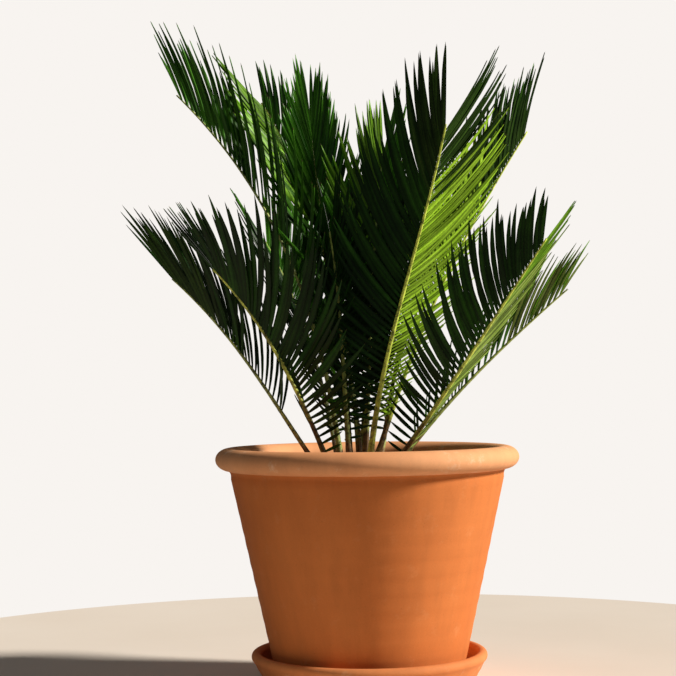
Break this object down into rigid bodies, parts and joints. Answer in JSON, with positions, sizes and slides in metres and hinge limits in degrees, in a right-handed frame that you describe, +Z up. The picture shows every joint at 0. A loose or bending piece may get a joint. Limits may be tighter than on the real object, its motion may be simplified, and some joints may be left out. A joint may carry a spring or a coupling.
{
  "type": "potted sago palm",
  "caption": "Small sago palm with feather fronds rising from a short stem, growing in a terracotta pot with a rolled rim that stands on its own saucer.",
  "frame": {"origin": "middle of the flat underside of the saucer, at mount base", "axes": "+Z is up through the pot, -Y faces the picture's camera, +X is the picture's right; +Z is the longest extent and -Z points out of the saucer's underside"},
  "size_m": [0.441, 0.3177, 0.6074],
  "materials": {
    "terracotta": "matte",
    "soil": "matte",
    "bark": "matte",
    "foliage": "semi-gloss"
  },
  "bodies": {
    "root": {"saucer": "terracotta", "pot": "terracotta", "potting_soil": "soil", "stem": "bark", "frond_upper_left": "foliage", "frond_top_left": "foliage", "frond_top_centre": "foliage", "frond_top_inner": "foliage", "frond_front_right_high": "foliage", "frond_upper_right": "foliage", "frond_front_right_low": "foliage", "frond_right_low": "foliage", "frond_left_low": "foliage", "frond_front_left_low": "foliage", "frond_inner_left": "foliage", "frond_back_right": "foliage", "frond_back_centre": "foliage", "frond_back_left": "foliage"}
  },
  "joints": []
}
